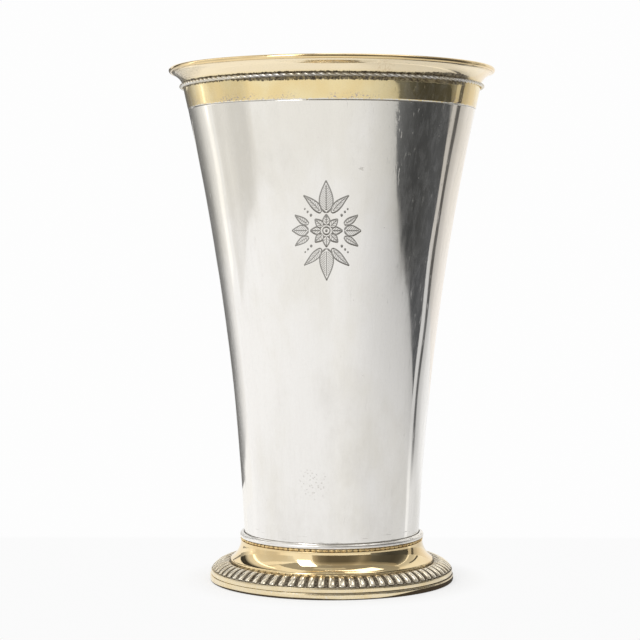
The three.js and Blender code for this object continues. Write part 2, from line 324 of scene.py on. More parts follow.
def lobed_border():
    """Section points turned round the axis. On the shoulder, a point at (width cos(a)^p, height sin(a)^p)
    sinks by relief (1 - h), where h = sqrt(1 - (s/w)^q - e^q): s runs -1..1 across a lobe, w is the lobe's
    share of the pitch and e grows from 0 to 1 over its round outer end. Small pads rise between ends."""
    chance = np.random.default_rng(11)
    lobe = np.repeat(np.arange(LOBES), LOBE_STEPS)
    s = np.tile(-1 + 2 * np.arange(LOBE_STEPS) / LOBE_STEPS, LOBES)
    width = (LOBE_SHARE * (1 + 0.05 * chance.uniform(-1, 1, LOBES)))[lobe]
    end = (LOBE_END + 2.5 * chance.uniform(-1, 1, LOBES))[lobe]
    tall = (1 - 0.12 * chance.uniform(0, 1, LOBES))[lobe]
    sway = (0.05 * chance.uniform(-1, 1, LOBES))[lobe]
    turn = np.concatenate([np.linspace(3, 32, 16), np.linspace(37, 92, 10), np.linspace(98, 117, 5)])
    past = np.clip((end[:, None] - turn) / LOBE_END_LENGTH, 0, 2)
    across = np.abs(s + sway * (1 - s**2))[:, None] / width[:, None]
    away = across**LOBE_POWER + past**LOBE_POWER
    lobe_rise = np.sqrt(np.clip(1 - away, 0, 1)) * tall[:, None]
    pad_rise = PAD_RISE * smooth(1.4, 2.2, away) * smooth(11, 6, turn)
    rise = np.maximum(lobe_rise, pad_rise)
    fullness = np.interp(turn, [3, 14, 40, 68, 100, 117], [0.75, 0.9, 1, 0.95, 0.7, 0.55])
    sink = LOBE_RELIEF * fullness * (1 - rise)
    out, up = np.cos(np.radians(turn)), np.sin(np.radians(turn))
    radius = SHOULDER_MIDDLE[0] + (SHOULDER_WIDTH - sink) * np.sign(out) * np.abs(out) ** SHOULDER_POWER
    height = SHOULDER_MIDDLE[1] + (SHOULDER_HEIGHT - sink) * up**SHOULDER_POWER
    ledge = np.array([[LOBE_INNER, LEDGE_HEIGHT], [BORDER_INNER, LEDGE_HEIGHT]])
    under = np.array([[BORDER_INNER, SHOULDER_MIDDLE[1]], [BORDER_UNDER, SHOULDER_MIDDLE[1]]])
    flat = [np.broadcast_to(rows, (len(lobe), 2, 2)) for rows in (under, ledge)]
    section = np.concatenate([flat[0], np.stack([radius, height], axis=-1), flat[1]], axis=1)
    grid = spun(section, len(lobe))
    # Painted dark reflection: the outer ends of the lobes are darker, more on some than others.
    painted_end_reflection = 0.7 * smooth(20, 9, turn) * chance.uniform(0.4, 1, LOBES)[lobe][:, None]
    # Tarnish in the grooves, and a painted shade at the inner edge by the fillet.
    soil = np.maximum.reduce([1 - smooth(0.3, 0.82, rise), painted_end_reflection, 0.3 * smooth(84, 98, turn) + 0 * rise])
    soil = np.pad(soil, ((0, 0), (2, 2)), constant_values=1)
    crown = np.pad(smooth(0.72, 0.98, rise / tall[:, None]), ((0, 0), (2, 2)))
    return grid, soil, crown


def rubbed_finish(name):
    """Gilding that stays pale gold on the flanks, cream where the mark crown is high, and black-brown where
    the soil mark is: tarnish in the grooves, painted dark reflection at the ends, painted shade at the
    fillet."""
    material = gilt_finish(name, rub=0.25, dull=0.17, golds=LOBE_GOLDS, spread=0.08)
    tree = material.node_tree
    colour = tree.nodes["Principled BSDF"].inputs["Base Color"]
    gilding = colour.links[0].from_socket
    crown = times(mark_of(tree, "crown"), level(grain(tree, 500), 0.35, 0.6, 0.1, 0.5))
    tree.links.new(colours(crown, gilding, CROWN_CREAM), colour)
    return material


lobe_grid, lobe_soil, lobe_crown = lobed_border()
gadroon_border = skin("gadroon_border_ring", [lobe_grid], soil=[lobe_soil], crown=[lobe_crown])
mount(gadroon_border, rubbed_finish("rubbed_gilding"), "gadroon_border")


# Foot spool
# Hollow foot spun from sheet: a fillet on the lobed border, a concave side, a neck for the notched wire and
# a shelf inside that the cup is soldered to. Gilt and brightly polished, with soil at the neck and a painted
# dark reflection on the fillet.
SPOOL_FOOT, SPOOL_TOP, SPOOL_NECK, SHELF_INNER = 29.9, 26.83, 26.13, 22.93
SPOOL_BOTTOM, FILLET_TOP, SPOOL_HEIGHT, SHELF_TOP, SHELF_BOTTOM = 5.29, 6.3, 11.89, 12.75, 11.25
SPOOL_SHEET = 0.9
SPOOL_OUTSIDE_POINTS = 62
SPOOL_GOLDS = (0.95, 0.77, 0.46, 1), (0.9, 0.69, 0.38, 1)


def spool_outline():
    """Up the fillet, up the concave side (an arc about a point outside the spool), in over the neck and
    shelf, and down the hollow along the same arc set in by the sheet."""
    spread, rise = SPOOL_FOOT - SPOOL_TOP, SPOOL_HEIGHT - FILLET_TOP
    sweep = (spread**2 + rise**2) / (2 * spread)
    middle = (SPOOL_TOP + sweep, SPOOL_HEIGHT)
    lowest = 180 + np.degrees(np.arcsin(rise / sweep))
    side = ellipse(middle, sweep, sweep, lowest, 180, 40)
    reach = sweep + SPOOL_SHEET
    hollow_top = 180 + np.degrees(np.arcsin((SPOOL_HEIGHT - SHELF_BOTTOM) / reach))
    hollow_low = 180 + np.degrees(np.arcsin((SPOOL_HEIGHT - SPOOL_BOTTOM) / reach))
    hollow = ellipse(middle, reach, reach, hollow_top, hollow_low, 14)
    foot, fillet = (SPOOL_FOOT, SPOOL_BOTTOM), (SPOOL_FOOT, FILLET_TOP)
    path = [
        side[-2], (SPOOL_TOP, SPOOL_HEIGHT), (SPOOL_NECK, SPOOL_HEIGHT), (SPOOL_NECK, SHELF_TOP),
        (SHELF_INNER, SHELF_TOP), (SHELF_INNER, SHELF_BOTTOM), hollow[0],
    ]
    over_neck = [eased(*path[i:i + 3], cut) for i, cut in enumerate((0.12, 0.1, 0.15, 0.2, 0.2))]
    return np.concatenate([
        eased(hollow[-1], foot, fillet, 0.1),
        eased(foot, fillet, side[3], 0.3, 9),
        side[2:-1],
        *over_neck,
        hollow[1:],
    ])


spool_line = spool_outline()
spool_outside = np.arange(len(spool_line)) < SPOOL_OUTSIDE_POINTS
# Painted dark reflection on the fillet: weak all round, strong on the front right, and in narrow bands at the
# sides.
fillet_painted_reflection = 0.25 + 0.6 * within(rim_bearing, 4, 22, 56, 64)
fillet_painted_reflection = np.maximum(fillet_painted_reflection, smooth(6, 3, np.abs(np.abs(rim_bearing) - 69)))
fillet_soil = fillet_painted_reflection * smooth(6.1, 5.9, spool_line[:, 1])
neck_soil = 0.3 * smooth(11.9, 12.0, spool_line[:, 1])
spool_soil = np.maximum(neck_soil, fillet_soil) * spool_outside
foot_spool = skin("foot_spool_shell", [spun(spool_line)], soil=[spool_soil])
spool_gilding = gilt_finish("spool_gilding", 0.3, 0.035, SPOOL_GOLDS, lines=0.000004, spread=0.06)
mount(foot_spool, spool_gilding, "foot_spool")


# Milled wire
# Fine round gilt wire in the corner under the collar, rolled with a milling wheel so that it looks like a
# row of grains, and soldered. Soil fills the notches.
MILL_RADIUS, MILL_RING, MILL_LEVEL = 0.42, 26.56, 12.32
MILL_NOTCHES, MILL_STEPS, MILL_SIDES = 98, 12, 12
NOTCH_DEPTH, NOTCH_POWER = 0.4, 5
MILL_GOLDS = (0.95, 0.76, 0.41, 1), (0.8, 0.58, 0.28, 1)


def milled_ring():
    """A round section carried round the axis, its radius times 1 - d n, where n = |cos(k a / 2)|^p pinches
    each of the k notches by the depth d. The grains between them differ in size."""
    a = round_angles(MILL_NOTCHES * MILL_STEPS)
    notch = np.abs(np.cos(MILL_NOTCHES / 2 * a)) ** NOTCH_POWER
    b = np.arange(MILL_SIDES) * 2 * np.pi / MILL_SIDES
    grains = np.random.default_rng(5).uniform(0.68, 1, MILL_NOTCHES)
    size = MILL_RADIUS * np.repeat(grains, MILL_STEPS)[:, None] * (1 - NOTCH_DEPTH * notch[:, None])
    grid = swept(MILL_RING + size * np.cos(b), MILL_LEVEL + size * np.sin(b), a)
    dark = np.repeat(np.random.default_rng(6).uniform(0.1, 1.0, MILL_NOTCHES), MILL_STEPS)
    return grid, (dark * smooth(0.5, 0.95, notch))[:, None]


mill_grid, mill_soil = milled_ring()
milled_wire = skin("milled_wire_ring", [mill_grid], soil=[mill_soil])
mill_gilding = gilt_finish("mill_gilding", rub=0.15, dull=0.45, golds=MILL_GOLDS)
mount(milled_wire, mill_gilding, "milled_wire")


# Cup body
# One sheet of silver raised to a trumpet, planished and polished. A line is turned round it where the gilding
# of the mouth ends, on a slight step with a bevelled lower edge. A rosette with leaves is engraved in front.
CUP_BOTTOM, CUP_WALL, WALL_TOP, FLARE_START = 12.83, 0.8, 144.6, 144.4
WALL_SWEEP, WALL_MIDDLE = 749.92, (774.87, -21.19)
FLARE_SWEEP, FLARE_MIDDLE = 4.867, (48.336, 143.872)
FLARE_LOW, FLARE_EDGE, FLARE_RUN = 12.8, 57.0, 1.36
LINE_LEVEL, BEVEL_TOP, BAND_STEP, LINE_DEPTH, LINE_HALF_WIDTH = 138.1, 138.55, 0.055, 0.12, 0.13
ROSETTE_LEVEL, ROSETTE_TURN = 102.6, -92.4
ROSETTE_HALF_WIDTH, ROSETTE_HALF_HEIGHT, ENGRAVED_DEPTH = 10.2, 14.2, 0.07
# Levels in mm of the painted shade under and over the twisted wire, and how far the upper dark band rises.
ROPE_UNDER_SHADE, ROPE_OVER_SHADE, FLARE_DARK_RISE = 142.9, 146.1, 0.75
BRUISE_SPOT, SCUFF_SPOT = (-0.0057, -0.0268, 0.031), (0.0185, -0.037, 0.1345)
SMEAR_SPOT, STAIN_SPOT = (0.0081, -0.0374, 0.1196), (0.0145, -0.0422, 0.1472)
RUB_SPOT = (0.0112, -0.0275, 0.0805)
SILVER = (0.985, 0.967, 0.94, 1)
WARM_SILVER = (0.905, 0.877, 0.812, 1)
ENGRAVED_GREY = (0.2, 0.19, 0.175, 1)
STREAK_GREY = (0.72, 0.69, 0.64, 1)
PIT_BROWN = (0.3, 0.27, 0.23, 1)
BAND_GOLDS = (0.95, 0.80, 0.46, 1), (0.92, 0.735, 0.385, 1)
FLARE_GOLD = (0.99, 0.85, 0.60, 1)
WORN_GREY = (0.46, 0.41, 0.42, 1)
STAIN_BROWN = (0.62, 0.4, 0.22, 1)


def wall_radius(height, inset=0.0):
    """Radius and lean of the wall at a height: it is an arc about a point far outside the cup, inset towards
    the inside."""
    lean = np.arcsin((height - WALL_MIDDLE[1]) / WALL_SWEEP)
    return WALL_MIDDLE[0] - (WALL_SWEEP + inset) * np.cos(lean), lean


def flare_line(steps, inset=0.0):
    """Curve of the mouth: an arc about a point outside the cup and then a straight run, inset along its
    normal."""
    a = np.radians(np.append(np.linspace(FLARE_LOW, FLARE_EDGE, steps), [FLARE_EDGE, FLARE_EDGE]))
    run = np.append(np.zeros(steps), [FLARE_RUN / 2, FLARE_RUN])
    reach = FLARE_SWEEP + inset
    radius = FLARE_MIDDLE[0] - reach * np.cos(a) + run * np.sin(a)
    return np.stack([radius, FLARE_MIDDLE[1] + reach * np.sin(a) + run * np.cos(a)], axis=1)


def cut_profile(distance, half_width):
    """Round-bottomed groove: 1 on the line and 0 at half_width from it."""
    return np.clip(1 - (distance / half_width) ** 2, 0, 1)


def leaf_cuts(along, across, base, tip, width, vein):
    """Groove depths of a leaf that lies on the line across = 0 from base to tip. Its edge is
    width sin(pi t^0.7), its rib is the line itself, and its veins are slanted lines at the pitch vein."""
    t = np.clip((along - base) / (tip - base), 0, 1)
    inside_length = (along > base) & (along < tip)
    side = np.abs(across)
    edge = width * np.sin(np.pi * t**0.7)
    slope = width * np.pi * 0.7 * np.cos(np.pi * t**0.7) * np.maximum(t, 0.02) ** -0.3 / (tip - base)
    outline = np.abs(side - edge) / np.sqrt(1 + slope**2)
    cuts = np.where(inside_length, cut_profile(outline, 0.23), 0)
    rib = np.where(inside_length & (t > 0.1) & (t < 0.86), cut_profile(side, 0.17), 0)
    slant = (along - 0.9 * side) / vein
    veins = np.abs(slant - np.round(slant)) * vein / np.sqrt(1 + 0.9**2)
    shaded = inside_length & (side < edge - 0.25) & (side > 0.2)
    return np.maximum.reduce([cuts, rib, np.where(shaded, 0.75 * cut_profile(veins, 0.15), 0)])


def rosette_cuts(across, up):
    """Depth 0..1 of the engraving, the same in all four quarters: a ring, eight petals, a long leaf up and
    down, a short one to each side, curved leaves beside them, and dots that get smaller outwards."""
    x, y = np.abs(across), np.abs(up)
    far = np.hypot(x, y)
    bearing = np.degrees(np.arctan2(x, y))
    folded = np.radians((bearing + 22.5) % 45 - 22.5)
    cuts = [cut_profile(far - 1.0, 0.24), cut_profile(far, 0.5)]
    petal_along, petal_across = far * np.cos(folded), far * np.sin(folded)
    cuts.append(leaf_cuts(petal_along, petal_across, base=1.45, tip=4.5, width=1.0, vein=0.7))
    cuts.append(leaf_cuts(y, x, base=4.9, tip=13.7, width=1.9, vein=0.62))
    cuts.append(leaf_cuts(x, y, base=4.9, tip=9.7, width=1.45, vein=0.62))
    for start_x, start_y, turn, length, width in ((1.5, 4.9, 34, 6.6, 1.05), (4.9, 1.8, 66, 4.6, 0.85)):
        dx, dy, a = x - start_x, y - start_y, np.radians(turn)
        along = dx * np.sin(a) + dy * np.cos(a)
        bend = 0.03 * along**2 * (1 if turn < 45 else -1)
        cuts.append(leaf_cuts(along, dx * np.cos(a) - dy * np.sin(a) - bend, 0, length, width, 0.6))
    for reach, size in ((6.0, 0.5), (7.3, 0.42), (8.4, 0.34)):
        a = np.radians(45)
        cuts.append(cut_profile(np.hypot(x - reach * np.sin(a), y - reach * np.cos(a)), size))
    return np.maximum.reduce(cuts)


def planished(angles, height):
    """Faint waves that raising leaves in the wall, in mm: a sum of four cosines of turn and height."""
    waves = 0.028 * np.cos(5 * angles + height / 11 + 0.4) + 0.018 * np.cos(9 * angles - height / 7 + 2.1)
    return waves + 0.012 * np.cos(14 * angles + height / 5 + 4.0) + 0.005 * np.cos(22 * angles - height / 9)


def paler_sides(bearing):
    """Shares 0..1 of the left and the right side of the mouth, where the soil and the painted shade by the
    twisted wire are lighter.
    """
    return within(bearing, -150, -120, -44, -24), within(bearing, 54, 64, 120, 150)


def cup_grid():
    """Rows go up the outside, over the edge and down the inside; columns go round, closer together over the
    engraving. The outside moves along its normal by the step, the line, the waves and the engraved cuts."""
    half_turn = np.degrees(ROSETTE_HALF_WIDTH / wall_radius(ROSETTE_LEVEL)[0])
    start, stop = ROSETTE_TURN - half_turn, ROSETTE_TURN + half_turn
    over_rosette = np.linspace(start, stop, 154)
    angles = np.radians(np.append(over_rosette, np.linspace(stop, start + 360, 118)[1:-1]))
    low, high = ROSETTE_LEVEL - ROSETTE_HALF_HEIGHT, ROSETTE_LEVEL + ROSETTE_HALF_HEIGHT
    levels = np.concatenate([
        [CUP_BOTTOM + 0.1],
        np.linspace(CUP_BOTTOM + 0.5, low, 36),
        np.linspace(low, high, 208)[1:],
        np.linspace(high, LINE_LEVEL - 0.5, 11)[1:],
        np.linspace(LINE_LEVEL - 0.4, BEVEL_TOP + 0.3, 17),
        np.linspace(BEVEL_TOP + 0.7, WALL_TOP, 7),
    ])
    radius, lean = wall_radius(levels)
    step = BAND_STEP * within(levels, LINE_LEVEL + 0.15, BEVEL_TOP, 143.4, FLARE_START)
    groove = cut_profile(levels - LINE_LEVEL, LINE_HALF_WIDTH)
    turn = (angles - np.radians(ROSETTE_TURN) + np.pi) % (2 * np.pi) - np.pi
    across = turn[:, None] * radius
    up = levels - ROSETTE_LEVEL + 0 * across
    near = (np.abs(across) < ROSETTE_HALF_WIDTH) & (np.abs(up) < ROSETTE_HALF_HEIGHT)
    cuts = np.where(near, rosette_cuts(across, up), 0)
    calm = within(levels, CUP_BOTTOM, CUP_BOTTOM + 12, 130, 144)
    proud = step - LINE_DEPTH * groove + planished(angles[:, None], levels) * calm - ENGRAVED_DEPTH * cuts
    outer = np.stack([radius + proud * np.cos(lean), levels - proud * np.sin(lean)], axis=-1)
    flare = flare_line(19)
    flare_inside = flare_line(11, CUP_WALL)[::-1]
    inner_levels = np.linspace(FLARE_START, CUP_BOTTOM + 0.2, 22)
    inner_wall = np.stack([wall_radius(inner_levels, CUP_WALL)[0], inner_levels + CUP_WALL * 0.12], axis=1)
    foot_inner, foot_outer = wall_radius(CUP_BOTTOM, CUP_WALL)[0] + 0.1, wall_radius(CUP_BOTTOM)[0] - 0.1
    rest = np.concatenate([flare_inside, inner_wall, [[foot_inner, CUP_BOTTOM], [foot_outer, CUP_BOTTOM]]])
    even_part = np.concatenate([flare, rest])
    even_part = np.broadcast_to(even_part, (len(angles), *even_part.shape))
    section = np.concatenate([outer, even_part], axis=1)
    grid = swept(section[..., 0], section[..., 1], angles)
    cut = np.pad(np.maximum(cuts, smooth(0.1, 0.7, groove)), ((0, 0), (0, len(flare) + len(rest))))
    bearing = bearing_of(angles)[:, None]
    left, right = paler_sides(bearing)
    # Painted shade on the gilding under and over the twisted wire. Above the wire the dark band rises on the
    # front right.
    soil_top = ROPE_OVER_SHADE + FLARE_DARK_RISE * within(bearing, 24, 50, 61, 66)
    band_soil = np.clip(levels - ROPE_UNDER_SHADE - 0.5 * left, 0, 1) * (1 - 0.75 * right)
    flare_soil = np.clip((soil_top - flare[:, 1]) / 0.8, 0, 1) * (1 - 0.6 * right)
    soil = np.pad(np.concatenate([band_soil, flare_soil], axis=1), ((0, 0), (0, len(rest))))
    inside = np.repeat([0, 1], [len(levels) + len(flare), len(rest)])
    return grid, cut, soil, inside


def away_from(tree, spot):
    """Distance in metres from a spot on the piece."""
    place = add(tree, "TexCoord").outputs["Object"]
    return add(tree, "VectorMath", {0: place, 1: spot}, operation="DISTANCE").outputs["Value"]


def cup_finish(name, brushed):
    """Polished silver with hair scratches, pits, a warm cast and a faint film, gilt inside and above a ragged
    edge at the turned line, grey in the engraved cuts, and dark brown where the soil mark is: soil on the
    collar, painted shade round the twisted wire on the cup. The value brushed adds to its roughness."""
    material, tree = node_material(name)
    place = add(tree, "TexCoord").outputs["Object"]
    height = add(tree, "SeparateXYZ", {0: place}).outputs["Z"]
    cloud = grain(tree, 45, stretch=(1, 1, 0.5), detail=4, roughness=0.6)
    streak = grain(tree, 700, stretch=(1, 1, 0.02), detail=4, roughness=0.7)
    fleck = grain(tree, 1500, detail=4, roughness=0.7)
    smudge = grain(tree, 30, stretch=(1, 1, 0.6), turn=(0, 25, 40), detail=5, roughness=0.66)
    warmth = plus(cloud, level(height, 0.08, 0.132, -0.08, 0.22))
    gold = colours(level(grain(tree, 120, detail=3), 0.35, 0.65), *BAND_GOLDS)
    gold = colours(level(height, 0.1450, 0.1465), gold, FLARE_GOLD)
    ragged = plus(height, level(fleck, 0.25, 0.75, -0.00025, 0.00025))
    gilding = level(ragged, (LINE_LEVEL + 0.15) * MM, (LINE_LEVEL + 0.4) * MM)
    gilding = larger(gilding, mark_of(tree, "inside"))
    towards_edge = level(height, (BEVEL_TOP + 2.2) * MM, BEVEL_TOP * MM)
    worn = times(towards_edge, level(grain(tree, 70, detail=1), 0.4, 0.52))
    worn = times(worn, level(grain(tree, 1900, detail=2), 0.56, 0.62))
    ragged_soil = plus(mark_of(tree, "soil"), level(fleck, 0.3, 0.7, -0.16, 0.16))
    soil = times(level(ragged_soil, 0.42, 0.6), level(fleck, 0.3, 0.62, 0.62, 1.0))
    cut = mark_of(tree, "cut")
    bruise = plus(away_from(tree, BRUISE_SPOT), level(fleck, 0.2, 0.8, -0.002, 0.002))
    cells = add(tree, "TexVoronoi", {"Vector": place, "Scale": 1150}).outputs["Distance"]
    pitted = times(level(bruise, 0.0055, 0.003), level(cells, 0.36, 0.2))
    sparse = add(tree, "TexVoronoi", {"Vector": place, "Scale": 330}).outputs
    chosen = level(add(tree, "SeparateColor", {0: sparse["Color"]}).outputs[0], 0.72, 0.76)
    pits = larger(pitted, times(chosen, level(sparse["Distance"], 0.07, 0.03)))
    smear = plus(away_from(tree, SMEAR_SPOT), level(fleck, 0.2, 0.8, -0.0006, 0.0006))
    pits = larger(pits, level(smear, 0.0007, 0.0003, 0.0, 0.9))
    dashes = level(grain(tree, 260, stretch=(1, 1, 9), detail=3), 0.62, 0.7)
    pits = larger(pits, times(level(height, 0.0185, 0.0150), dashes))
    stain = level(away_from(tree, STAIN_SPOT), 0.0036, 0.001)
    coats = (
        (level(warmth, 0.38, 0.7), WARM_SILVER),
        (level(streak, 0.42, 0.7, 0.0, 0.06), STREAK_GREY),
        (level(smudge, 0.49, 0.73, 0.0, 0.42), STREAK_GREY),
        (gilding, gold),
        (times(worn, gilding), WORN_GREY),
        (soil, SOIL_AND_SHADE_BROWN),
        (level(cut, 0.12, 0.8, 0.0, 0.85), ENGRAVED_GREY),
        (times(pits, 0.25), PIT_BROWN),
        (times(stain, level(fleck, 0.48, 0.66, 0.0, 0.4)), STAIN_BROWN),
    )
    base = SILVER
    for share, coat in coats:
        base = colours(share, base, coat)
    shine = level(streak, 0.35, 0.7, 0.05 + brushed, 0.085 + brushed)
    shine = plus(shine, level(smudge, 0.5, 0.75, 0.0, 0.1))
    dull = larger(larger(cut, pits), soil)
    shine = plus(shine, times(dull, 0.25))
    hairs = level(grain(tree, 1600, stretch=(1, 1, 0.018), detail=2), 0.6, 0.72)
    cross = level(grain(tree, 900, stretch=(1, 1, 0.03), turn=(0, 64, 20), detail=2), 0.66, 0.74)
    steep = grain(tree, 1100, stretch=(1, 1, 0.025), turn=(0, -38, -15), detail=2)
    cross = larger(cross, level(steep, 0.68, 0.75))
    cross = times(cross, level(grain(tree, 75), 0.4, 0.6))
    scuff = away_from(tree, SCUFF_SPOT)
    rub = level(away_from(tree, RUB_SPOT), 0.011, 0.004)
    nicks = grain(tree, 2000, stretch=(1, 1, 0.16), turn=(0, 58, 30), detail=1)
    nicked = larger(level(scuff, 0.02, 0.008), rub)
    cross = larger(cross, times(level(nicks, 0.68, 0.74), nicked))
    film = grain(tree, 420, stretch=(1, 1, 0.35), detail=6, roughness=0.75)
    film = times(level(film, 0.46, 0.6), 0.8)
    film = plus(film, level(streak, 0.45, 0.68, 0.0, 0.25))
    film = larger(film, cross)
    shine = plus(shine, times(cross, 0.2))
    scuffed = times(level(scuff, 0.014, 0.003), grain(tree, 230, detail=3, roughness=0.6))
    waves = grain(tree, 60, stretch=(1, 1, 0.4), detail=1)
    bump = None
    for relief, depth in ((pits, -9e-6), (hairs, -6e-7), (cross, -6e-6), (waves, 2e-5), (scuffed, 2e-5)):
        bump = dents(relief, depth, bump)
    fill(tree.nodes["Principled BSDF"], {
        "Base Color": base,
        "Metallic": maths("SUBTRACT", 1.0, soil),
        "Specular IOR Level": SOIL_SHINE,
        "Roughness": shine,
        "Coat Weight": film,
        "Coat Roughness": 0.55,
        "Normal": bump,
    })
    return material


body_grid, body_cut, body_soil, body_inside = cup_grid()
cup_body = skin("cup_body_shell", [body_grid], cut=[body_cut], soil=[body_soil], inside=[body_inside])
mount(cup_body, cup_finish("cup_silver", brushed=0.0), "cup_body")


# Cup floor
# Silver disc soldered into the lower end of the cup and gilt inside, with the faint rings that a spinning
# tool leaves and a dark line of solder at its edge.
FLOOR_RADIUS, FLOOR_THICKNESS, FLOOR_EASE = 24.85, 1.0, 0.15
FLOOR_STEPS = 144
MERGE_DISTANCE = 1e-7


def floor_grid():
    """Underside from the middle out, an eased edge, and the top back to the middle with rings of 0.02 mm."""
    top = CUP_BOTTOM + FLOOR_THICKNESS
    edge_low, edge_top = (FLOOR_RADIUS, CUP_BOTTOM), (FLOOR_RADIUS, top)
    upper = np.linspace(FLOOR_RADIUS - 0.3, 0, 60)
    rings = np.stack([upper, top + 0.02 * np.cos(upper * 2.6) * smooth(24.5, 22, upper)], axis=1)
    lower = np.linspace(0, FLOOR_RADIUS - 0.3, 8)
    return np.concatenate([
        np.stack([lower, np.full(8, CUP_BOTTOM)], axis=1),
        eased((0, CUP_BOTTOM), edge_low, edge_top, FLOOR_EASE),
        eased(edge_low, edge_top, (0, top), FLOOR_EASE),
        rings,
    ])


floor_outline = floor_grid()
floor_soil = smooth(24.0, 24.7, floor_outline[:, 0])
cup_floor = skin("cup_floor_disc", [spun(floor_outline, FLOOR_STEPS)], ends_open=True, soil=[floor_soil])
weld = bmesh.new()
weld.from_mesh(cup_floor.data)
bmesh.ops.remove_doubles(weld, verts=weld.verts, dist=MERGE_DISTANCE)
weld.to_mesh(cup_floor.data)
weld.free()
mount(cup_floor, gilt_finish("floor_gilding", rub=0.3, dull=0.16), "cup_floor")


# Foot collar
# Plain silver ring soldered round the lower end of the cup, with a rounded top that hides the seam. A dark
# line of soil lies along its upper edge.
COLLAR_INNER, COLLAR_OUTER, COLLAR_TOP, COLLAR_EDGE = 25.85, 27.12, 14.18, 13.33
COLLAR_SOIL = 0.15


def collar_outline():
    """Flat bottom, upright edge, and a quarter ellipse over the top."""
    low_in, low_out = (COLLAR_INNER, CUP_BOTTOM), (COLLAR_OUTER, CUP_BOTTOM)
    width, height = COLLAR_OUTER - COLLAR_INNER, COLLAR_TOP - COLLAR_EDGE
    crown = ellipse((COLLAR_INNER, COLLAR_EDGE), width, height, 0, 88, 14)
    return np.concatenate([
        eased(crown[-1], low_in, low_out, 0.08),
        eased(low_in, low_out, crown[0], 0.18),
        crown,
        eased(crown[-1], (COLLAR_INNER, COLLAR_TOP), low_in, 0.03, 3),
    ])


collar_line = collar_outline()
collar_soil = np.maximum(smooth(26.15, 25.95, collar_line[:, 0]), COLLAR_SOIL)
foot_collar = skin("foot_collar_ring", [spun(collar_line)], cut=[0.0], soil=[collar_soil], inside=[0.0])
mount(foot_collar, cup_finish("collar_silver", brushed=0.26), "foot_collar")


# Twisted wire
# Two round wires twisted together, bent to a ring and soldered into the bend under the lip. The outsides are
# bright silver in a middle band. The hollows between the strands are dark with soil, and the upper and lower
# sides carry painted shade, both less so at the two sides.
STRAND, STRAND_OFFSET, STRAND_SLANT, STRAND_SIDES = 0.33, 0.22, 1.11, 10
TWIST_RING, TWIST_LEVEL, TWIST_TURNS, TWIST_STEPS = 44.1, 144.75, 65, 16
TWIST_CREAM = (0.92, 0.84, 0.66, 1)


def strand_grid(phase):
    """A strand's middle circles the ring's line at the offset, at the angle phase - turns * a, so that it
    runs down to the right outside. Its section is a circle, drawn out by the slant along the way it moves."""
    a = round_angles(TWIST_TURNS * TWIST_STEPS)
    swing = (phase - TWIST_TURNS * (a - np.pi / 2))[:, None]
    b = np.arange(STRAND_SIDES) * 2 * np.pi / STRAND_SIDES
    out, side = STRAND_OFFSET + STRAND * np.cos(b), STRAND * STRAND_SLANT * np.sin(b)
    radial = out * np.cos(swing) - side * np.sin(swing)
    upright = out * np.sin(swing) + side * np.cos(swing)
    grid = swept(TWIST_RING + radial, TWIST_LEVEL + upright, a)
    left, right = paler_sides(bearing_of(a)[:, None])
    # Soil in the hollows, and painted shade on the upper and lower sides, so that only a middle band stays
    # bright.
    hollow = (1 - smooth(0.3, 0.42, np.hypot(radial, upright))) * (1 - 0.3 * left - 0.5 * right)
    shade_above = smooth(0.14, 0.32, upright) * (1 - 0.3 * left - 0.7 * right)
    shade_below = 0.85 * smooth(-0.06, -0.3, upright) * (1 - 0.65 * left - 0.8 * right)
    return grid, np.maximum.reduce([hollow, shade_above, shade_below])


strands = [strand_grid(phase) for phase in (0, np.pi)]
rope_wire = skin("twisted_wire_ring", [s[0] for s in strands], soil=[s[1] for s in strands])
twist_silver = gilt_finish("twist_silver", rub=0.6, golds=(BARE_SILVER, TWIST_CREAM))
mount(rope_wire, twist_silver, "rope_wire")


# Lip wire
# Half-round gilt wire soldered over the edge of the mouth to stiffen it, so that it stands a little proud of
# the flare. Its top is a little rubbed by use.
LIP_RING, LIP_LEVEL, LIP_RADIUS, LIP_HALF_HEIGHT = 47.2, 149.38, 0.5, 0.62
SEAM_OUTSIDE, SEAM_INSIDE = (46.91, 148.75), (46.45, 149.43)
LIP_GOLDS = (0.94, 0.74, 0.42, 1), (0.9, 0.69, 0.38, 1)
lip_round = ellipse((LIP_RING, LIP_LEVEL), LIP_RADIUS, LIP_HALF_HEIGHT, -100, 140, 41)
lip_section = np.concatenate([[SEAM_OUTSIDE], lip_round, [SEAM_INSIDE]])
lip_wire = skin("lip_wire_ring", [spun(lip_section)], soil=[0.0])
lip_gilding = gilt_finish("lip_gilding", rub=0.3, dull=0.06, golds=LIP_GOLDS, spread=0.08)
mount(lip_wire, lip_gilding, "lip_wire")


# Floor of the studio
# Pale paper that the beaker stands on, a little greyer in front of the bend where it rises behind the beaker.
# Lamps fall on part of it, so that the shadow of the foot stays.
FLOOR_HALF, FLOOR_DROP = 3000.0, 0.02
PAPER_BEND, BEND_HALF = 0.077, 0.004
PAPER_FRONT, PAPER_BEHIND = 0.962, 0.985
CONTACT_NEAR, CONTACT_FAR, CONTACT_GLOW = 0.036, 0.048, 0.66
MIRROR_MIDDLE, MIRROR_NEAR, MIRROR_FAR = (0.024, -0.013), 0.13, 0.26
MATT_WHITE = (0.95, 0.95, 0.945, 1)


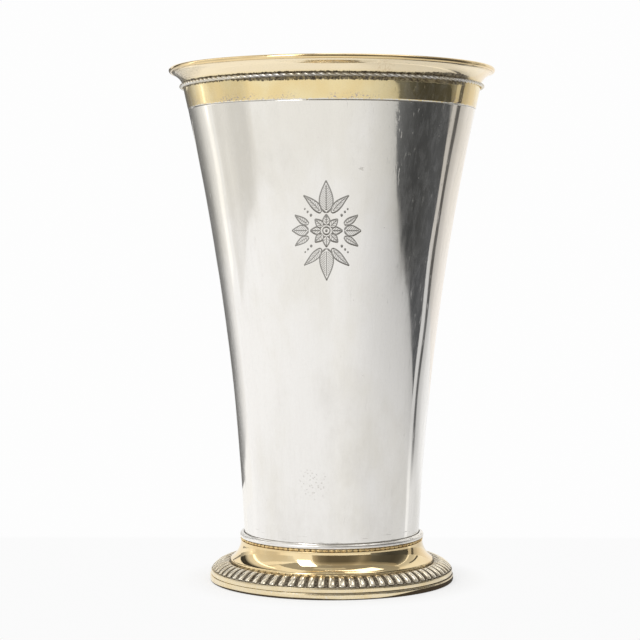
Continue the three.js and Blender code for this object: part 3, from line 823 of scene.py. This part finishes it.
def paper_floor():
    """Matt white paper near the foot, which turns into an even white glow further off. In mirrors the glow
    takes the tones of the cards that stand behind it, by the bearing from a point on that side of the cup,
    and it gets plainer towards the foot."""
    corners = np.array([[-1, -1], [1, -1], [1, 1], [-1, 1]]) * FLOOR_HALF
    mesh = meshed("paper", np.insert(corners, 2, -FLOOR_DROP, axis=1) * MM, np.array([[0, 1, 2, 3]]))
    material, tree = node_material("white_paper")
    tree.nodes.clear()
    rays = add(tree, "LightPath").outputs
    place = add(tree, "TexCoord").outputs["Object"]
    sideways, depth = add(tree, "SeparateXYZ", {0: place}).outputs[:2]
    beside = maths("SUBTRACT", maths("ABSOLUTE", sideways), MIRROR_MIDDLE[0])
    before = maths("SUBTRACT", MIRROR_MIDDLE[1], depth)
    bearing = maths("DIVIDE", maths("ARCTAN2", beside, before), np.pi)
    squares = plus(maths("POWER", beside, 2), maths("POWER", before, 2))
    far_left = ((0, 0.86), (40, 0.89), (80, 0.92), (100, 0.92), (140, 0.95), (170, 0.95))
    near_left = ((0, 0.86), (60, 0.88), (112, 0.9), (119, 0.95), (128, 0.93), (170, 0.92))
    far_right = (
        (0, 0.87), (20, 0.8), (40, 0.71), (60, 0.66), (100, 0.62), (110.5, 0.6), (112, 0.6), (117, 0.6),
        (118.2, 0.09), (122.6, 0.1), (123.8, 0.5), (131, 0.6), (136, 0.74), (148, 0.86), (160, 0.93),
    )
    near_right = (
        (0, 0.87), (20, 0.8), (40, 0.72), (100, 0.67), (110, 0.68), (112, 0.92), (117, 0.92), (119, 0.76),
        (140, 0.7), (150, 0.76), (165, 0.85),
    )
    tones = []
    for stops in (near_left, far_left, near_right, far_right):
        mirrored = add(tree, "ValToRGB", {0: bearing})
        ramp = mirrored.color_ramp
        for spare in range(len(stops) - 2):
            ramp.elements.new(0.5)
        for element, (degrees, tone) in zip(ramp.elements, stops):
            element.position = degrees / 180
            element.color = (tone, tone * 0.995, tone * 0.985, 1)
        tones.append(mirrored.outputs[0])
    far_share = level(maths("SQRT", squares), MIRROR_NEAR, MIRROR_FAR)
    left_tone = colours(far_share, tones[0], tones[1])
    right_tone = colours(far_share, tones[2], tones[3])
    mirrored_tone = colours(level(sideways, -0.01, 0.01), left_tone, right_tone)
    seen = level(depth, PAPER_BEND - BEND_HALF, PAPER_BEND + BEND_HALF, PAPER_FRONT, PAPER_BEHIND)
    glow = add(tree, "Emission", {"Color": (1, 1, 1, 1), "Strength": seen})
    reflected = add(tree, "Emission", {"Color": mirrored_tone, "Strength": 1.0})
    matt = add(tree, "BsdfDiffuse", {"Color": MATT_WHITE})
    afar = add(tree, "MixShader", {0: rays["Is Glossy Ray"], 1: glow.outputs[0], 2: reflected.outputs[0]})
    ground = add(tree, "VectorMath", {0: place, 1: (1, 1, 0)}, operation="MULTIPLY").outputs[0]
    away = add(tree, "VectorMath", {0: ground}, operation="LENGTH").outputs["Value"]
    share = level(away, CONTACT_NEAR, CONTACT_FAR, CONTACT_GLOW, 1.0)
    paper_shader = add(tree, "MixShader", {0: share, 1: matt.outputs[0], 2: afar.outputs[0]})
    add(tree, "OutputMaterial", {"Surface": paper_shader.outputs[0]})
    mesh.materials.append(material)
    return placed("paper", mesh)


paper_floor()


# Studio cards
# Boards that stand round the beaker out of the picture and show only as reflections in the metal: on the
# right a dark flag with its shade on the paper, a bright strip and grey boards, on the left a soft screen,
# boards, a strip and low slats, behind the foot a white card, in front the dark room, and a ceiling.
WARM_WHITE, PAPER_WHITE, CREAM = (1, 0.985, 0.955, 1), (1, 0.995, 0.985, 1), (1, 0.95, 0.89, 1)
COOL_BLACK, ROOM_BROWN, ROOM_UPPER_BROWN = (0.96, 0.985, 1.02, 1), (1, 0.92, 0.8, 1), (1, 0.93, 0.82, 1)
LEFT_MIDDLE, RIGHT_MIDDLE = (-MIRROR_MIDDLE[0], MIRROR_MIDDLE[1]), MIRROR_MIDDLE
FLAG_TOP, BOARD_TOP, STRIP_TOP, SCREEN_TOP, ROOM_TOP = 0.088, 0.14, 0.075, 0.1, 0.42


def board(name, x, y, z, tones, tint=WARM_WHITE):
    """Board over grids of points, which glows in a tint with the tone of each point and which only mirrors
    see. Rows and columns of a grid are the last two axes of the arrays, which are broadcast together."""
    points = np.stack(np.broadcast_arrays(x, y, z), axis=-1)
    index = np.arange(points.size // 3).reshape(points.shape[:-1])
    corners = [index[..., :-1, :-1], index[..., :-1, 1:], index[..., 1:, 1:], index[..., 1:, :-1]]
    quads = np.stack(corners, axis=-1).reshape(-1, 4)
    mesh = meshed(name, points.reshape(-1, 3), quads, tone=np.broadcast_to(tones, index.shape))
    material, tree = node_material(name)
    tree.nodes.clear()
    glow = add(tree, "Emission", {"Color": tint, "Strength": mark_of(tree, "tone")})
    add(tree, "OutputMaterial", {"Surface": glow.outputs[0]})
    mesh.materials.append(material)
    panel = placed(name, mesh)
    for ray in ("camera", "diffuse", "transmission", "volume_scatter", "shadow"):
        setattr(panel, "visible_" + ray, False)


def stood(bearing, distance, middle=(0, 0)):
    """Place on the paper at a bearing in degrees: middle + distance (sin b, -cos b)."""
    b = np.radians(bearing)
    return middle[0] + distance * np.sin(b), middle[1] - distance * np.cos(b)


def card(name, low, high, stands, middle=(0, 0), tint=WARM_WHITE, fade=0.0):
    """Upright board over the points at (bearing, distance, tone) from a middle, from the height low to high,
    where the tone has grown by fade."""
    bearing, distance, tone = np.array(stands).T
    x, y = stood(bearing, distance, middle)
    up = np.array([[0], [1]])
    board(name, x, y, low + (high - low) * up, tone + fade * up, tint)


def even(distance, *stands):
    """Points of a card that stands at one distance, from (bearing, tone)."""
    return [(bearing, distance, tone) for bearing, tone in stands]


dark_flag = [
    (48, 0.52, 0.16), (52.8, 0.477, 0.16), (54.6, 0.453, 0.15), (56.9, 0.43, 0.13), (58.7, 0.41, 0.11),
    (64.4, 0.396, 0.08), (74, 0.389, 0.055), (84, 0.381, 0.06), (92.3, 0.372, 0.075), (99.1, 0.354, 0.08),
    (104.2, 0.321, 0.08), (106.3, 0.293, 0.08),
]
dark_room = [
    (-24, 0.62, 0.5), (-15, 0.62, 0.2), (-4, 0.62, 0.12), (20, 0.62, 0.12), (30, 0.63, 0.16),
    (38, 0.64, 0.26), (46, 0.66, 0.16), (60, 0.68, 0.1), (85, 0.7, 0.08), (110, 0.72, 0.14),
]
card("dark_flag", 0, FLAG_TOP, dark_flag, tint=COOL_BLACK)
card("flag_upper", FLAG_TOP, 0.3, [
    (50, 0.5, 0.12), (64, 0.396, 0.08), (84, 0.381, 0.065), (95, 0.365, 0.09), (100, 0.35, 0.14),
    (106, 0.295, 0.3),
])
card("flag_return", 0, 0.3, [(106.3, 0.293, 0.06), (107.9, 0.469, 0.06)])
card("right_strip", 0, BOARD_TOP, even(0.56, (110.8, 0.55), (117.6, 0.55)), RIGHT_MIDDLE, CREAM)
card("right_boards", 0, BOARD_TOP, even(
    0.55, (117.6, 0.1), (123, 0.1), (123.2, 0.48), (131, 0.6), (136, 0.74), (148, 0.86), (160, 0.93),
    (172, 0.98),
), RIGHT_MIDDLE, CREAM)
card("right_upper", BOARD_TOP, 0.6, even(
    0.54, (108.5, 1.1), (113, 1.1), (113.4, 0.55), (124, 0.6), (126.5, 0.75), (129, 0.75), (132, 0.9),
    (172, 0.98),
), RIGHT_MIDDLE)
card("soft_screen", 0, SCREEN_TOP, [
    (-65, 0.46, 0.86), (-72, 0.463, 0.7), (-86, 0.475, 0.71), (-96, 0.47, 0.82), (-103, 0.467, 0.77),
    (-108, 0.465, 0.84),
])
card("screen_upper", SCREEN_TOP, 0.33, [
    (-48, 0.46, 0.8), (-58, 0.46, 0.7), (-80, 0.47, 0.68), (-100, 0.467, 0.76), (-106, 0.465, 0.85),
])
card("left_boards", STRIP_TOP, BOARD_TOP, even(
    0.55, (-110.5, 0.84), (-116, 0.96), (-117, 1.1), (-121, 1.1), (-127, 0.82), (-134, 0.62), (-141, 0.4),
    (-149, 0.26), (-160, 0.17), (-172, 0.3),
), LEFT_MIDDLE)
left_strip = even(0.55, (-115, 0.94), (-117, 1.12), (-121, 1.12), (-124, 0.94))
card("left_strip", 0.003, STRIP_TOP, left_strip, LEFT_MIDDLE)
card("left_upper", BOARD_TOP, 0.8, even(
    0.54, (-110, 0.85), (-111.5, 0.9), (-111.8, 2.2), (-116, 2.2), (-116.5, 0.85), (-127, 0.75), (-132, 0.4),
    (-136, 0.05), (-146, 0.04), (-146.5, 0.98), (-172, 0.98),
), LEFT_MIDDLE)
left_near = even(0.2, (-149, 0.24), (-156, 0.17), (-172, 0.12), (-178, 0.12))
card("left_near", 0.137, 0.172, left_near, LEFT_MIDDLE)
card("foot_screen", 0, 0.019, [(-147.5, 0.0747, 0.95), (-179, 0.063, 0.95)], LEFT_MIDDLE)
card("band_strip", 0.066, 0.09, even(0.53, (-117.8, 1.8), (-119.8, 1.8)), LEFT_MIDDLE)
card("dark_room", 0.05, ROOM_TOP, dark_room, tint=ROOM_BROWN)
card("room_upper", ROOM_TOP, 0.78, dark_room, tint=ROOM_UPPER_BROWN, fade=0.3)

# Shade of the flag on the paper, depth exp(-gap / width) by the gap from the line that the flag stands on.
SHADE_NEAR, SHADE_FAR, SHADE_LEVEL, SHADE_DEPTH, SHADE_WIDTH = 0.2, 0.56, 0.00005, 0.28, 0.075
flag_bearing, flag_reach = np.array(dark_flag).T[:2]
foot_bearing = np.linspace(48, 106.3, 80)
foot_x, foot_y = stood(foot_bearing, np.interp(foot_bearing, flag_bearing, flag_reach))
shade_reach = np.linspace(SHADE_NEAR, SHADE_FAR, 32)[:, None]
shade_bearing = np.linspace(28, 109.5, 50)
shade_x, shade_y = stood(shade_bearing, shade_reach, RIGHT_MIDDLE)
shade_gap = np.hypot(shade_x[..., None] - foot_x, shade_y[..., None] - foot_y).min(axis=-1)
shade = SHADE_DEPTH * np.exp(-shade_gap / SHADE_WIDTH) * within(shade_reach, SHADE_NEAR, 0.28, 0.5, SHADE_FAR)
paper_tone = np.interp(shade_bearing, [20, 40, 60, 100, 110.5], [0.8, 0.71, 0.66, 0.62, 0.6])
board("flag_shade", shade_x, shade_y, SHADE_LEVEL, paper_tone * (1 - shade), PAPER_WHITE)

# Low slats that hide the paper on the left at a flat angle. Each is as tall as the step to the next one times
# the slope of the view there. Near ones are white, and those past slat_start have tones by their bearing.
SLAT_NEAR, SLAT_FAR, SLATS, SLAT_WHITE, SLAT_FADE = 0.13, 2.5, 1201, 0.95, 0.03
slat_bearing = np.array([-123, -127, -134, -141, -149, -160, -168])
slat_tone = np.array([0.9, 0.8, 0.6, 0.36, 0.25, 0.17, 0.2])
slat_start = np.array([0.26, 0.25, 0.23, 0.21, 0.17, 0.135, 0.13])
slat_reach = np.geomspace(SLAT_NEAR, SLAT_FAR, SLATS)[:, None, None]
slat_step = slat_reach * np.log(SLAT_FAR / SLAT_NEAR) / (SLATS - 1)
slope_reach, slopes = [0.13, 0.3, 0.6, 1.1, 1.8, 2.5], [0.16, 0.135, 0.108, 0.086, 0.066, 0.052]
slat_x, slat_y = stood(slat_bearing, slat_reach, LEFT_MIDDLE)
slat_z = np.array([[0], [1]]) * slat_step * np.interp(slat_reach, slope_reach, slopes)
slat_tones = SLAT_WHITE + (slat_tone - SLAT_WHITE) * smooth(slat_start, slat_start + SLAT_FADE, slat_reach)
board("left_slats", slat_x, slat_y, slat_z, slat_tones)

# A slanted dark board on the right, and a screen, a panel and the ceiling overhead.
slant_x, slant_y = [[0.413, 0.392], [0.45, 0.43]], [[0.319, 0.351], [0.262, 0.29]]
board("right_slant", slant_x, slant_y, [[0.14], [0.36]], 0.08)
board("overhead_screen", [[-1.3], [0.06]], [[-0.1, 0.55], [0.0, 0.55]], 1.45, [0.95, 0.9])
board("ceiling_panel", [[-0.4], [0.3]], [-0.62, -0.38], 1.5, 0.6)
board("ceiling", [[-1.6], [1.5]], [-1.3, 2.0], 1.7, [[0.36, 0.4], [0.25, 0.38]])


# Light
# White surroundings, which the metal shows too, and two soft boxes: one to the left of the camera and one
# overhead. They give the highlights on the foot and its faint shadow.
world = bpy.data.worlds.new("studio")
bpy.context.scene.world = world
world.use_nodes = True
sky = world.node_tree
sky.nodes.clear()
sky_rays = add(sky, "LightPath").outputs
shown = larger(sky_rays["Is Camera Ray"], sky_rays["Is Glossy Ray"])
shown = larger(shown, sky_rays["Is Transmission Ray"])
soft_light = add(sky, "Background", {"Color": (1, 1, 1, 1), "Strength": 0.85})
white = add(sky, "Background", {"Color": (1, 1, 1, 1), "Strength": PAPER_BEHIND})
sky_mix = add(sky, "MixShader", {0: shown, 1: soft_light.outputs[0], 2: white.outputs[0]})
add(sky, "OutputWorld", {"Surface": sky_mix.outputs[0]})


def soft_box(name, bearing, rise, distance, width, height, power):
    """Oblong lamp at a bearing and a rise in degrees, facing the foot."""
    b, r = np.radians([bearing, rise])
    lamp = bpy.data.lights.new(name, "AREA")
    lamp.shape = "RECTANGLE"
    lamp.size, lamp.size_y = width, height
    lamp.energy = power
    box = placed(name, lamp)
    box.location = distance * np.array([np.sin(b) * np.cos(r), -np.cos(b) * np.cos(r), np.sin(r)])
    box.rotation_euler = (np.radians(90 - rise), 0, np.radians(bearing))
    return box


soft_box("box_left", bearing=-37, rise=43, distance=1.1, width=0.3, height=0.56, power=2.2)
top_box = soft_box("box_top", bearing=92, rise=77, distance=1.2, width=0.42, height=0.76, power=2.2)
top_box.visible_diffuse = False


# Camera
# Long lens a little below the mouth of the beaker, tipped down and turned so that the beaker stands right of
# the middle of a square picture.
EYE_DISTANCE, EYE_HEIGHT, EYE_TILT, EYE_PAN = 0.5555, 0.0987, 2.29, 0.357
LENS_PIXELS, PICTURE_PIXELS, SENSOR = 1885, 640, 36
lens = bpy.data.cameras.new("camera")
lens.sensor_width = SENSOR
lens.lens = LENS_PIXELS / PICTURE_PIXELS * SENSOR
lens.clip_start = 0.01
camera = placed("camera", lens)
camera.location = (0, -EYE_DISTANCE, EYE_HEIGHT)
camera.rotation_euler = np.radians([90 - EYE_TILT, 0, EYE_PAN])
bpy.context.scene.camera = camera
bpy.context.scene.view_settings.view_transform = "Standard"
